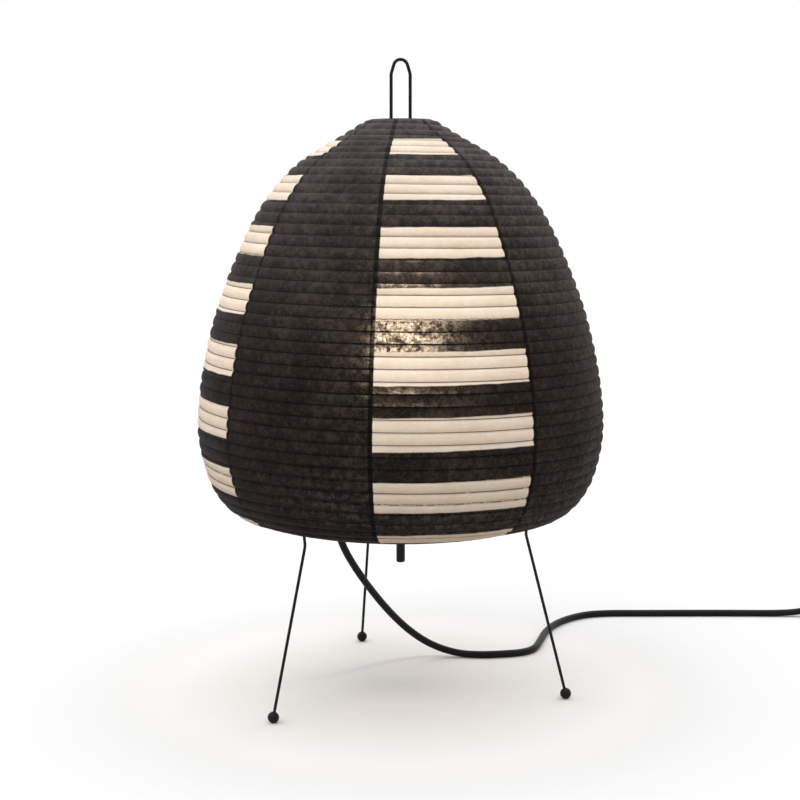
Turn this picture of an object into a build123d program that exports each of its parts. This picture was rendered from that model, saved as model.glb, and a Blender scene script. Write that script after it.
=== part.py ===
from build123d import *
import os
from math import atan2, cos, degrees, pi, radians, sin, sqrt, tan

# A washi-paper table lamp: a bell-shaped accordion shade over a sprung wire
# harp, standing on three bent wire legs, with a small screw-in bulb and a
# mains lead.  Millimetres, +Z up.  The origin is on the table, under the axis.
# -Y is the middle of the striped gore that faces forward.

# ---- driving dimensions ----------------------------------------------------
TOTAL_HEIGHT = 428.6

# shade profile, (radius, height), from the top ring round to the bottom ring
SHADE_PROFILE = [
    (22.0, 388.0), (34.5, 380.0), (60.0, 365.0), (82.3, 345.0), (110.7, 295.0),
    (122.3, 265.0), (130.4, 235.0), (135.4, 205.0), (136.6, 182.0), (132.6, 157.0),
    (123.4, 137.0), (112.0, 126.6), (103.0, 123.6), (92.6, 122.6),
]
PAPER = 0.5                 # gore thickness; real washi is thinner
GORES = 8
RIB_PITCH = 7.6             # along the paper
RIB_STRIP = 1.0             # split bamboo, square in section
RING_WIRE = 2.4
TOP_RING_R = 20.1
TOP_RING_Z = 387.0
BOTTOM_RING_R = 92.6
BOTTOM_RING_Z = 121.2

LEG_WIRE = 2.0
FOOT_BALL = 7.5
FOOT_FLAT_DROP = 3.6        # ball centre above the table
FOOT_CIRCLE_R = 115.8
WAIST = (87.4, 112.0)       # leg bends outward here
ELBOW = (89.6, 131.0)       # and turns in to the hub here
LEG_AZIMUTHS = {"front_left": 210.0, "front_right": 330.0, "back": 90.0}

HUB_R = 3.0
HUB_BOTTOM = 87.5
HUB_TOP = 136.0
POST_R = 2.0
POST_BOTTOM = 98.0
POST_TOP = 150.0

HARP_WIRE = 2.2
HARP_FOOT_Z = 144.0
HARP_HALF = 50.0
HARP_SHOULDER_Z = 300.0
NECK_HALF = 6.55
NECK_Z = 383.0

HOLDER_R = 13.5
HOLDER_BASE_Z = 151.5
HOLDER_SPLIT_Z = 172.0
HOLDER_TOP_Z = 205.0
HOLDER_WALL = 1.8
GRIP_AZIMUTH = 150.0        # the cord grip points this way,
GRIP_TILT = 45.0            # and this far below level
GRIP_ROOT = (12.5, 164.5)   # (radius, height)
GRIP_LENGTH = 22.0

BULB_R = 22.5
BULB_CENTRE_Z = 238.0
CAP_R = 7.0                 # E14 screw cap
CAP_BOTTOM_Z = 188.0
CAP_TOP_Z = 207.0
BULB_TIP_Z = 182.5
SLEEVE_CLEAR = 0.10

CORD = 5.2
CORD_LEAVES = (0.9646, -0.2639)  # the lead's way across the table
SWITCH_SIZE = (56.0, 24.0, 15.0)
SWITCH_ENTRY = (376.0, 92.3, 6.0)
ROCKER_TILT = 8.0
ROCKER_PIN_R = 1.0
COIL_CENTRE = (470.0, 35.5)
COIL_MID_R = 28.5
COIL_HALF_WIDTH = 7.8
COIL_HEIGHT = 14.6
PLUG_SIZE = (36.0, 34.0, 13.6)
PLUG_PIN_R = 2.0
PLUG_PIN_LENGTH = 19.0
PLUG_PIN_GAP = 18.6

nodes = {}


def polar(radius, azimuth, z):
    return (radius * cos(radians(azimuth)), radius * sin(radians(azimuth)), z)


def rod(start, end, radius):
    """A straight round bar between two points."""
    axis = Vector(*end) - Vector(*start)
    place = Plane(origin=start, z_dir=axis)
    return place * Cylinder(radius, axis.length, align=(Align.CENTER, Align.CENTER, Align.MIN))


def disc(radius, low, high):
    return Pos(0, 0, low) * Cylinder(radius, high - low, align=(Align.CENTER, Align.CENTER, Align.MIN))


def turned(points):
    """A solid of revolution about Z from a closed outline of (radius, height)."""
    outline = [Vector(r, 0, z) for r, z in points]
    face = make_face(Polyline(*outline, close=True))
    return revolve(face, Axis.Z)


def bent_wire(points, radii, diameter):
    """Round wire along straight runs joined by tangent arcs."""
    path = FilletPolyline(*points, radius=radii)
    start = path @ 0
    section = Plane(origin=start, z_dir=path % 0) * Circle(diameter / 2)
    wire = sweep(section, path=path)
    straight = sum(
        (Vector(*b) - Vector(*a)).length for a, b in zip(points, points[1:])
    )
    print(f"   wire {path.length:.1f} mm of {straight:.1f}, volume / (section x length) "
          f"{wire.volume / (pi * diameter ** 2 / 4 * path.length):.4f}")
    return wire


def lead(name, points):
    """A stretch of cord: every arc is as large as its two runs allow."""
    radii = []
    for a, b, c in zip(points, points[1:], points[2:]):
        first, second = Vector(*b) - Vector(*a), Vector(*c) - Vector(*b)
        half_turn = radians(first.get_angle(second)) / 2
        radii.append(0.45 * min(first.length, second.length) / tan(half_turn))
    runs = [round((Vector(*b) - Vector(*a)).length, 1) for a, b in zip(points, points[1:])]
    print(name, "runs", runs)
    print("   radii", [round(r, 1) for r in radii])
    return bent_wire(points, radii, CORD)


# ---- shade -----------------------------------------------------------------
# The outline is a smooth curve through the profile, in the XZ plane.
outline = Spline(*[Vector(r, 0, z) for r, z in SHADE_PROFILE])


def inside(distance, depth):
    """A point the given depth inside the paper's outer face, by arc length."""
    point = outline.position_at(distance, position_mode=PositionMode.LENGTH)
    way = outline.tangent_at(distance, position_mode=PositionMode.LENGTH)
    return Vector(point.X + way.Z * depth, 0, point.Z - way.X * depth)


def gore_face():
    steps = 26
    inner = Spline(*[inside(outline.length * k / steps, PAPER) for k in range(steps + 1)])
    return make_face([outline, Line(outline @ 1, inner @ 1), inner, Line(inner @ 0, outline @ 0)])


def make_gores():
    """Eight paper gores, glued edge to edge; striped and plain ones alternate."""
    places = ["back", "back_left", "left", "front_left", "front", "front_right", "right", "back_right"]
    width = 360.0 / GORES
    blank = revolve(gore_face(), Axis.Z, revolution_arc=width)
    for k, place in enumerate(places):
        kind = "striped" if k % 2 == 0 else "black"
        middle = 90.0 + k * width
        nodes[f"{kind}_gore_{place}"] = Rot(0, 0, middle - width / 2) * blank


def make_ribs():
    """Bamboo ribs inside the paper, one hoop for each turn of the winding."""
    depth = PAPER + RIB_STRIP * 0.5**0.5 + 0.05
    count = int(outline.length / RIB_PITCH)
    first = (outline.length - (count - 1) * RIB_PITCH) / 2
    hoops = []
    for k in range(count):
        spot = inside(first + k * RIB_PITCH, depth)
        hoop = Cylinder(spot.X + RIB_STRIP / 2, RIB_STRIP) - Cylinder(spot.X - RIB_STRIP / 2, RIB_STRIP)
        hoops.append(Pos(0, 0, spot.Z) * hoop)
    print("rib hoops", count, "paper length", round(outline.length, 1))
    nodes["bamboo_ribs"] = Compound(children=hoops)


def make_shade_rings():
    nodes["bottom_ring"] = Pos(0, 0, BOTTOM_RING_Z) * Torus(BOTTOM_RING_R, RING_WIRE / 2)
    ring = Pos(0, 0, TOP_RING_Z) * Torus(TOP_RING_R, RING_WIRE / 2)
    # a flat bar across the ring, slotted for the handle loop, sits on the harp
    bar_top = TOP_RING_Z
    bar = Pos(0, 0, bar_top - 0.75) * Box(2 * TOP_RING_R, 8.0, 1.5)
    slot = Pos(0, 0, bar_top) * Box(2 * NECK_HALF + HARP_WIRE + 1.2, HARP_WIRE + 1.2, 6.0)
    nodes["top_ring"] = ring
    nodes["top_cross_bar"] = bar - slot - ring


# ---- stand -----------------------------------------------------------------
def make_stand():
    """Three bent wires, each a leg and a spoke, welded to the hub tube."""
    hub_bar = disc(HUB_R, HUB_BOTTOM - 1, HUB_TOP + 1)
    for place, azimuth in LEG_AZIMUTHS.items():
        corners = [
            polar(FOOT_CIRCLE_R, azimuth, FOOT_FLAT_DROP),
            polar(WAIST[0], azimuth, WAIST[1]),
            polar(ELBOW[0], azimuth, ELBOW[1]),
            polar(1.0, azimuth, ELBOW[1]),
        ]
        leg = bent_wire(corners, [8.0, 4.0], LEG_WIRE) - hub_bar
        ball = Pos(*corners[0]) * Sphere(FOOT_BALL / 2)
        table = Pos(0, 0, -10) * Box(400, 400, 20)
        nodes[f"leg_{place}"] = leg
        nodes[f"foot_{place}"] = ball - table - leg

    tube = disc(HUB_R, HUB_BOTTOM, HUB_TOP)
    tube = fillet(tube.edges().sort_by(Axis.Z)[0], 1.2)
    nodes["hub_tube"] = tube - disc(POST_R + 0.05, HUB_BOTTOM + 6, HUB_TOP + 1)


# ---- stretcher -------------------------------------------------------------
def make_stretcher():
    """The post plugs into the hub; its wire harp spreads the shade and ends in the handle."""
    nodes["stretcher_post"] = disc(POST_R, POST_BOTTOM, POST_TOP)
    arch = TOTAL_HEIGHT - HARP_WIRE / 2
    right = [
        (1.0, 0, HARP_FOOT_Z), (HARP_HALF, 0, HARP_FOOT_Z), (HARP_HALF, 0, HARP_SHOULDER_Z),
        (NECK_HALF, 0, NECK_Z), (NECK_HALF, 0, arch - 9.4), (3.6, 0, arch),
    ]
    left = [(-x, y, z) for x, y, z in reversed(right)]
    bends = [12.0, 25.0, 12.0, 8.0, 4.7]
    harp = bent_wire(right + left, bends + bends[::-1], HARP_WIRE)
    nodes["stretcher_wire"] = harp - disc(POST_R, POST_BOTTOM, POST_TOP)


# ---- lamp holder and bulb --------------------------------------------------
def grip_line():
    """Where the cord grip starts on the holder, and which way it points."""
    slope = radians(GRIP_TILT)
    flat = polar(cos(slope), GRIP_AZIMUTH, -sin(slope))
    return Vector(*polar(GRIP_ROOT[0], GRIP_AZIMUTH, GRIP_ROOT[1])), Vector(*flat)


def make_holder():
    """A small side-entry screw lamp holder on a round bracket."""
    plate = disc(11.5, POST_TOP, HOLDER_BASE_Z)
    screw_spots = [(0, 8.0), (0, -8.0)]
    screws = []
    for x, y in screw_spots:
        plate -= Pos(x, y, 0) * disc(1.6, POST_TOP - 1, HOLDER_BASE_Z + 1)
        head = Pos(x, y, 0) * disc(2.8, POST_TOP - 1.8, POST_TOP)
        shank = Pos(x, y, 0) * disc(1.5, POST_TOP - 0.1, HOLDER_BASE_Z + 5.0)
        screws.append(head + shank)
    nodes["holder_bracket"] = plate
    nodes["holder_screws"] = Compound(children=screws)

    lower = disc(HOLDER_R, HOLDER_BASE_Z, HOLDER_SPLIT_Z)
    lower = fillet(lower.edges().sort_by(Axis.Z)[0], 2.0)
    lower -= disc(HOLDER_R - HOLDER_WALL, HOLDER_BASE_Z + 2.0, HOLDER_SPLIT_Z + 1)
    for x, y in screw_spots:
        lower += Pos(x, y, 0) * disc(3.0, HOLDER_BASE_Z + 1.0, HOLDER_BASE_Z + 7.0)
    for screw in screws:
        lower -= screw

    root, way = grip_line()
    axis = Plane(origin=root, z_dir=way)
    taper = axis * Cone(5.4, 3.5, GRIP_LENGTH, align=(Align.CENTER, Align.CENTER, Align.MIN))
    collar = Plane(origin=root - way * 4.0, z_dir=way) * Cylinder(
        4.4, 5.0, align=(Align.CENTER, Align.CENTER, Align.MIN))
    grip = taper + collar
    grip -= disc(HOLDER_R - HOLDER_WALL, HOLDER_BASE_Z - 2, HOLDER_SPLIT_Z - 1.0)
    nodes["cord_grip"] = grip
    nodes["holder_base"] = lower - grip
    print("cord leaves the grip at", [round(v, 2) for v in root + way * GRIP_LENGTH])

    upper = turned([
        (7.9, HOLDER_SPLIT_Z), (HOLDER_R, HOLDER_SPLIT_Z), (HOLDER_R, HOLDER_SPLIT_Z + 14),
        (HOLDER_R - 1.4, HOLDER_TOP_Z - 1), (HOLDER_R - 2.4, HOLDER_TOP_Z), (7.9, HOLDER_TOP_Z),
    ])
    floor = disc(7.9, HOLDER_SPLIT_Z, HOLDER_SPLIT_Z + 3.0)
    nodes["holder_body"] = upper + floor
    sleeve_in = CAP_R + SLEEVE_CLEAR
    nodes["holder_thread_sleeve"] = turned([
        (sleeve_in, HOLDER_SPLIT_Z + 12), (7.9, HOLDER_SPLIT_Z + 12),
        (7.9, HOLDER_TOP_Z - 1), (sleeve_in, HOLDER_TOP_Z - 1),
    ])
    # a bent strip of spring brass that presses on the bulb's tip
    strip_low = HOLDER_SPLIT_Z + 3.0
    strip = Pos(-2.0, 0, strip_low + 0.3) * Box(8.0, 4.0, 0.6)
    tongue = Pos(-1.5, 0, BULB_TIP_Z - 0.7) * Box(9.0, 4.0, 0.6)
    riser = Pos(-5.7, 0, (strip_low + BULB_TIP_Z - 0.4) / 2) * Box(0.6, 4.0, BULB_TIP_Z - 0.4 - strip_low)
    nodes["holder_centre_contact"] = strip + riser + tongue


def make_bulb():
    """An opal golf-ball bulb with a small screw cap."""
    wall = 0.9
    neck_r = 9.0
    rise = sqrt(BULB_R ** 2 - neck_r ** 2)
    join_z = BULB_CENTRE_Z - rise
    top = Vector(0, 0, BULB_CENTRE_Z + BULB_R)
    side = Vector(BULB_R, 0, BULB_CENTRE_Z)
    join = Vector(neck_r, 0, join_z)
    bottom = Vector(6.3, 0, CAP_TOP_Z - 3.0)
    outer = [ThreePointArc(top, side, join), Line(join, bottom)]
    low_in = Vector(bottom.X - wall, 0, bottom.Z)
    small = BULB_R - wall
    join_in = Vector(neck_r - wall, 0, BULB_CENTRE_Z - sqrt(small ** 2 - (neck_r - wall) ** 2))
    top_in = Vector(0, 0, BULB_CENTRE_Z + small)
    inner = [Line(bottom, low_in), Line(low_in, join_in),
             ThreePointArc(join_in, Vector(small, 0, BULB_CENTRE_Z), top_in), Line(top_in, top)]
    nodes["bulb_glass"] = revolve(make_face(outer + inner), Axis.Z)

    cap = disc(CAP_R, CAP_BOTTOM_Z, CAP_TOP_Z - 2.0) + disc(CAP_R + 0.6, CAP_TOP_Z - 2.0, CAP_TOP_Z)
    glass_body = turned([(0, CAP_TOP_Z - 3.0), (6.35, CAP_TOP_Z - 3.0),
                         (neck_r + 0.05, join_z), (0, join_z)])
    cap -= glass_body
    cap -= disc(6.2, CAP_BOTTOM_Z + 1.5, CAP_TOP_Z)
    nodes["bulb_cap"] = cap - disc(4.0, CAP_BOTTOM_Z - 1, CAP_BOTTOM_Z + 2)
    nodes["bulb_insulator"] = turned([
        (2.5, BULB_TIP_Z + 1.6), (4.0, BULB_TIP_Z + 1.6), (5.8, CAP_BOTTOM_Z),
        (4.0, CAP_BOTTOM_Z), (4.0, CAP_BOTTOM_Z + 1.5), (2.5, CAP_BOTTOM_Z + 1.5),
    ])
    nodes["bulb_contact"] = disc(2.0, BULB_TIP_Z + 1.0, CAP_BOTTOM_Z + 1.0) + Pos(
        0, 0, BULB_TIP_Z + 1.0) * Cylinder(2.4, 1.0)
    board_z = join_z + 4.0
    nodes["bulb_light_board"] = disc(8.0, board_z, board_z + 1.6)


# ---- mains lead ------------------------------------------------------------
def make_lead():
    root, way = grip_line()
    grip_end = root + way * GRIP_LENGTH
    floor = CORD / 2
    leaves = Vector(*CORD_LEAVES)
    entry = Vector(*SWITCH_ENTRY)
    first = [
        tuple(grip_end), tuple(grip_end + way * 12.0),
        (-38.5, 21.8, 124.0), (-40.0, 20.5, 107.0), (-33.0, 23.0, 89.5), (-14.5, 36.0, 62.5),
        (6.0, 49.5, 37.5), (24.5, 58.0, 19.5), (41.5, 61.0, 8.0), (58.5, 56.0, floor),
        (73.0, 48.5, floor), (90.0, 46.4, floor), (105.0, 46.2, floor), (117.0, 53.0, floor),
        (126.0, 68.0, floor), (143.0, 100.0, floor), (161.5, 121.5, floor), (184.0, 135.5, floor),
        (204.0, 138.0, floor), (236.0, 129.5, floor), (297.0, 114.2, floor), (352.0, 98.4, floor),
        tuple(entry - leaves * 10.0), tuple(entry),
    ]
    nodes["cord_lamp_to_switch"] = lead("lamp to switch", first)

    out = entry + leaves * SWITCH_SIZE[0]
    to_coil = [
        tuple(out), tuple(out + leaves * 10.0), (456.0, 69.6, floor),
        (COIL_CENTRE[0] - COIL_MID_R * CORD_LEAVES[1], COIL_CENTRE[1] + COIL_MID_R * CORD_LEAVES[0], floor),
    ]
    nodes["cord_switch_to_coil"] = lead("switch to coil", to_coil)

    plug_z = PLUG_SIZE[2] / 2
    from_coil = [
        (COIL_CENTRE[0] + COIL_MID_R * CORD_LEAVES[1], COIL_CENTRE[1] - COIL_MID_R * CORD_LEAVES[0], floor),
        (442.0, 12.0, floor), (425.0, 10.5, plug_z), (411.0, 6.8, plug_z),
    ]
    nodes["cord_coil_to_plug"] = lead("coil to plug", from_coil)
    heading = Vector(*from_coil[-1]) - Vector(*from_coil[-2])
    make_plug(Vector(*from_coil[-1]), degrees(atan2(heading.Y, heading.X)))

    half = COIL_HALF_WIDTH
    ring = turned([
        (COIL_MID_R - half, 3.0), (COIL_MID_R - half + 3.0, 0), (COIL_MID_R + half - 3.0, 0),
        (COIL_MID_R + half, 3.0), (COIL_MID_R + half, COIL_HEIGHT - 3.0),
        (COIL_MID_R + half - 3.0, COIL_HEIGHT), (COIL_MID_R - half + 3.0, COIL_HEIGHT),
        (COIL_MID_R - half, COIL_HEIGHT - 3.0),
    ])
    nodes["cord_coil"] = Pos(*COIL_CENTRE, 0) * ring
    band_w, band_h = 2 * half + 2.4, COIL_HEIGHT + 1.2
    band = Pos(COIL_CENTRE[0] + COIL_MID_R, COIL_CENTRE[1], band_h / 2) * (
        Box(band_w, 6.0, band_h) - Box(band_w - 2.4, 7.0, band_h - 2.4))
    nodes["cord_tie"] = band - nodes["cord_coil"]


def make_switch():
    """An in-line rocker switch: two case halves, a rocker on a pin, and two screws."""
    length, width, height = SWITCH_SIZE
    yaw = degrees(atan2(CORD_LEAVES[1], CORD_LEAVES[0]))
    place = Pos(SWITCH_ENTRY[0], SWITCH_ENTRY[1], 0) * Rot(0, 0, yaw)
    split = SWITCH_ENTRY[2]
    half = width / 2

    plan = make_face(Polyline(
        (0, -5), (12, -half), (length - 12, -half), (length, -5),
        (length, 5), (length - 12, half), (12, half), (0, 5), close=True))
    block = extrude(plan, height)
    block = chamfer(block.edges().group_by(Axis.Z)[-1], 1.6)
    hollow = Pos(length / 2, 0, 1.6) * Box(
        length - 22, width - 7, height - 3.4, align=(Align.CENTER, Align.CENTER, Align.MIN))
    mouth = Pos(length / 2, 0, height - 3.0) * Box(22.0, 10.0, 10.0)
    channel = rod((-1, 0, split), (length + 1, 0, split), CORD / 2 - 0.9)
    pin_z = height - 3.2
    pin = rod((length / 2, -7.6, pin_z), (length / 2, 7.6, pin_z), ROCKER_PIN_R)
    cheeks = Pos(length / 2, 0, pin_z) * (Box(6.0, 15.0, 4.4) - Box(7.0, 10.0, 5.0))
    screw_spots = [(13.0, 0), (length - 13.0, 0)]
    screws = []
    for x, y in screw_spots:
        screws.append(Pos(x, y, 0) * (disc(2.6, 0.6, 2.2) + disc(1.4, 2.2, height - 3.0)))
    body = block - hollow - mouth - channel + cheeks - pin
    for x, y in screw_spots:
        body += Pos(x, y, 0) * disc(3.0, 1.0, height - 1.8)
        body -= Pos(x, y, 0) * disc(2.6, -1, 2.2)
    for screw in screws:
        body -= screw
    lower_space = Pos(0, 0, split - 50) * Box(400, 400, 100)
    nodes["switch_case_lower"] = place * (body & lower_space)
    nodes["switch_case_upper"] = place * (body - lower_space)
    nodes["switch_screws"] = Compound(children=[place * screw for screw in screws])
    nodes["switch_pivot_pin"] = place * pin

    rocker = Pos(length / 2, 0, pin_z) * (
        Cylinder(11.0, 9.2, rotation=(90, 0, 0)) & (Pos(0, 0, 1.2) * Box(20.6, 9.2, 5.2)))
    dish = Pos(length / 2, 0, pin_z + 24.6) * Cylinder(22.0, 20.0, rotation=(90, 0, 0))
    bore = rod((length / 2, -8, pin_z), (length / 2, 8, pin_z), ROCKER_PIN_R + 0.06)
    rocker = rocker - dish - bore
    # at rest it lies over towards the lamp, switched on
    tilt = Pos(length / 2, 0, pin_z) * Rot(0, -ROCKER_TILT, 0) * Pos(-length / 2, 0, -pin_z)
    nodes["switch_rocker"] = place * tilt * rocker
    centre = place * Pos(length / 2, 0, pin_z)
    print("rocker pivot", [round(v, 3) for v in centre.position])


def make_plug(entry, yaw):
    """A flat two-pin plug with its tapered relief, lying on the table."""
    length, width, height = PLUG_SIZE
    place = Pos(entry.X, entry.Y, 0) * Rot(0, 0, yaw)
    relief = 22.0
    body = Pos(relief, 0, 0) * extrude(make_face(Polyline(
        (0, -6), (6, -9), (14, -width / 2), (length, -width / 2),
        (length, width / 2), (14, width / 2), (6, 9), (0, 6), close=True)), height)
    body = fillet(body.edges().filter_by(Axis.Z), 2.0)
    body = chamfer(body.edges().group_by(Axis.Z)[-1] + body.edges().group_by(Axis.Z)[0], 1.2)
    neck = Plane(origin=(0, 0, height / 2), z_dir=(1, 0, 0)) * Cone(
        3.4, 5.4, relief + 2.0, align=(Align.CENTER, Align.CENTER, Align.MIN))
    nodes["plug_body"] = place * (body + neck)
    pins = []
    face_x = relief + length
    for side in (-0.5, 0.5):
        y = side * PLUG_PIN_GAP
        pin = rod((face_x, y, height / 2), (face_x + PLUG_PIN_LENGTH, y, height / 2), PLUG_PIN_R)
        pins.append(place * pin)
        tip = place * Pos(face_x + PLUG_PIN_LENGTH, y, height / 2)
        print("plug pin tip", [round(v, 3) for v in tip.position])
    nodes["plug_pins"] = Compound(children=pins)


make_gores()
make_ribs()
make_shade_rings()
make_stand()
make_stretcher()
make_holder()
make_bulb()
make_lead()
make_switch()

os.makedirs("parts", exist_ok=True)
for name, shape in nodes.items():
    export_step(shape, f"parts/{name}.step")
print(len(nodes), "nodes")
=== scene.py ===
# %% [markdown]
# # An accordion paper lantern
# A washi shade on one long bamboo spiral stands over a wire stretcher and three wire legs.
# The CAD model holds every size and joint.  This lesson gives it paper, bamboo, enamel, opal glass
# and a lit bulb, and lays the mains lead.

# %% Load the frame
import math
from functools import partial

import bpy
import numpy as np
from mathutils import Matrix, Vector


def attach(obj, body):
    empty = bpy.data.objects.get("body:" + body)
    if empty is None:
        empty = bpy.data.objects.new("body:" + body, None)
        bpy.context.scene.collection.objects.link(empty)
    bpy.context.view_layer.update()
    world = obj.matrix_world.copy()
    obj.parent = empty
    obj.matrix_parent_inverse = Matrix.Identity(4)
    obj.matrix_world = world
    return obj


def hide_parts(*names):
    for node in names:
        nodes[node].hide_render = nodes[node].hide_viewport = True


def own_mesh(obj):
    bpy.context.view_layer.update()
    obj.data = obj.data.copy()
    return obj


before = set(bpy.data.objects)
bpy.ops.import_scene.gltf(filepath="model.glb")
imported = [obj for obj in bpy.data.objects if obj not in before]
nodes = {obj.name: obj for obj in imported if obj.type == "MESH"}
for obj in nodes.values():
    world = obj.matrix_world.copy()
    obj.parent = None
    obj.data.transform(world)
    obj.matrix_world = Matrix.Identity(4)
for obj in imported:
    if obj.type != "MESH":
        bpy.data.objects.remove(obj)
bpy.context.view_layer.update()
MM = 0.001
TURN = 2 * math.pi

# %% [markdown]
# ## Helpers
# Colours are picked as sRGB hex and turned to linear once.  `add_node` is the one function that
# adds a node of any kind, sets it and links it.  The kinds that come up often have short names.

# %% Colour, node and object helpers
MATH = "ShaderNodeMath"
VECTOR_MATH = "ShaderNodeVectorMath"
MAP_RANGE = "ShaderNodeMapRange"
MIX = "ShaderNodeMix"
MIX_SHADER = "ShaderNodeMixShader"
RAMP = "ShaderNodeValToRGB"
NOISE = "ShaderNodeTexNoise"
SEPARATE = "ShaderNodeSeparateXYZ"
COMBINE = "ShaderNodeCombineXYZ"
COORDINATES = "ShaderNodeTexCoord"
PRINCIPLED = "ShaderNodeBsdfPrincipled"
REFRACTION = "ShaderNodeBsdfRefraction"
OUTPUT = "ShaderNodeOutputMaterial"


def linear(code, alpha=1.0):
    """An sRGB hex colour as linear RGBA."""
    parts = [int(code[i : i + 2], 16) / 255 for i in (1, 3, 5)]
    return (*[c / 12.92 if c <= 0.04045 else ((c + 0.055) / 1.055) ** 2.4 for c in parts], alpha)


def add_node(tree, kind, inputs=(), stops=(), **settings):
    """A node.  An input is a value, or a node or socket to link; stops fill a colour ramp."""
    node = tree.nodes.new(kind)
    for key, value in settings.items():
        setattr(node, key, value)
    for key, value in inputs.items() if isinstance(inputs, dict) else enumerate(inputs):
        if isinstance(value, bpy.types.Node):
            value = value.outputs[0]
        if isinstance(value, bpy.types.NodeSocket):
            tree.links.new(value, node.inputs[key])
        else:
            node.inputs[key].default_value = value
    if stops:
        elements = node.color_ramp.elements
        while len(elements) < len(stops):
            elements.new(0.5)
        for element, (place, code) in zip(elements, stops):
            element.position = place
            element.color = linear(code)
    return node


def new_material(name):
    """A material with an empty tree, and `add_node` for that tree."""
    material = bpy.data.materials.new(name)
    material.use_nodes = True
    material.node_tree.nodes.clear()
    return material, partial(add_node, material.node_tree)


def per_metre(size_mm):
    """A noise texture's scale for features of this size."""
    return 1.0 / (size_mm * MM)


def add_object(name, data):
    """An object in the scene."""
    obj = bpy.data.objects.new(name, data)
    bpy.context.scene.collection.objects.link(obj)
    return obj


def paint(material, *names):
    """Give CAD nodes a finish in all their material slots."""
    for name in names:
        slots = nodes[name].material_slots
        if not slots:
            nodes[name].data.materials.append(material)
        for slot in slots:
            slot.material = material


# %% [markdown]
# ## Camera
# A short telephoto stands about a metre away, a little left of the front and slightly above the
# shade's middle, and looks a few degrees down.

# %% Camera
CAMERA_DISTANCE = 1.1003
CAMERA_HEIGHT = 0.34053
CAMERA_AZIMUTH = math.radians(-14.744)
CAMERA_PITCH = 0.1271
CAMERA_YAW_TRIM = 0.0004
LENS_MM = 73.34
SENSOR_MM = 36.0

eye = Vector((
    CAMERA_DISTANCE * math.sin(CAMERA_AZIMUTH),
    -CAMERA_DISTANCE * math.cos(CAMERA_AZIMUTH),
    CAMERA_HEIGHT,
))
camera_data = bpy.data.cameras.new("camera")
camera_data.lens = LENS_MM
camera_data.sensor_width = SENSOR_MM
camera = add_object("camera", camera_data)
camera.matrix_world = (
    Matrix.Translation(eye)
    @ Matrix.Rotation(CAMERA_AZIMUTH + CAMERA_YAW_TRIM, 4, "Z")
    @ Matrix.Rotation(math.pi / 2 - CAMERA_PITCH, 4, "X")
)
bpy.context.scene.camera = camera
print("camera at", [round(v, 3) for v in eye])

# %% [markdown]
# ## The mains lead
# A lead is a fixed length of something springy, so it bends in long easy curves and never kinks.
# It could be simulated, but a still lead is simpler to lay through given points.  Each one here is
# a quadratic NURBS through listed control points: out of the grip, down in one easy curve, over the
# table with the set it kept from its packing, through the rocker switch, and wound away in a neat
# coil.

# %% Lead facts, in millimetres
CORD_MM = 5.2
FLOOR_MM = CORD_MM / 2
LEAVES = Vector((0.9646, -0.2639, 0.0))
SWITCH_ENTRY = Vector((376.0, 92.3, 6.0))
SWITCH_LENGTH = 56.0
GRIP_AZIMUTH = math.radians(150.0)
GRIP_TILT = math.radians(45.0)
GRIP_LENGTH = 22.0
GRIP_ROOT_R = 12.5
GRIP_ROOT_Z = 164.5
STRAIGHT_OUT = 10.0
grip_out = Vector((math.cos(GRIP_AZIMUTH), math.sin(GRIP_AZIMUTH), 0.0))
grip_way = grip_out * math.cos(GRIP_TILT) - Vector((0.0, 0.0, math.sin(GRIP_TILT)))
grip_end = grip_out * GRIP_ROOT_R + Vector((0.0, 0.0, GRIP_ROOT_Z)) + grip_way * GRIP_LENGTH
print("the lead leaves the grip at mm", [round(v, 1) for v in grip_end])


# %% Lead helpers
def lead_curve(name, points_mm):
    """A lead as a quadratic NURBS with a round section."""
    curve = bpy.data.curves.new(name, "CURVE")
    curve.dimensions = "3D"
    spline = curve.splines.new("NURBS")
    spline.points.add(len(points_mm) - 1)
    for point, place in zip(spline.points, points_mm):
        point.co = (*(Vector(place) * MM), 1.0)
        point.radius = CORD_MM * MM / 2
    spline.order_u = 3
    spline.use_endpoint_u = True
    spline.resolution_u = 8
    # the points carry the thickness, so that the curve's own bounds are true
    curve.bevel_depth = 1.0
    curve.bevel_resolution = 5
    curve.use_fill_caps = True
    obj = add_object(name, curve)
    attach(obj, "stand")
    return obj


def spline_length(obj):
    """The length of a curve's own line, in metres."""
    bevel = obj.data.bevel_depth
    obj.data.bevel_depth = 0.0
    evaluated = obj.evaluated_get(bpy.context.evaluated_depsgraph_get())
    line = bpy.data.meshes.new_from_object(evaluated)
    obj.data.bevel_depth = bevel
    places = [v.co.copy() for v in line.vertices]
    bpy.data.meshes.remove(line)
    return sum((b - a).length for a, b in zip(places, places[1:]))


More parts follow.
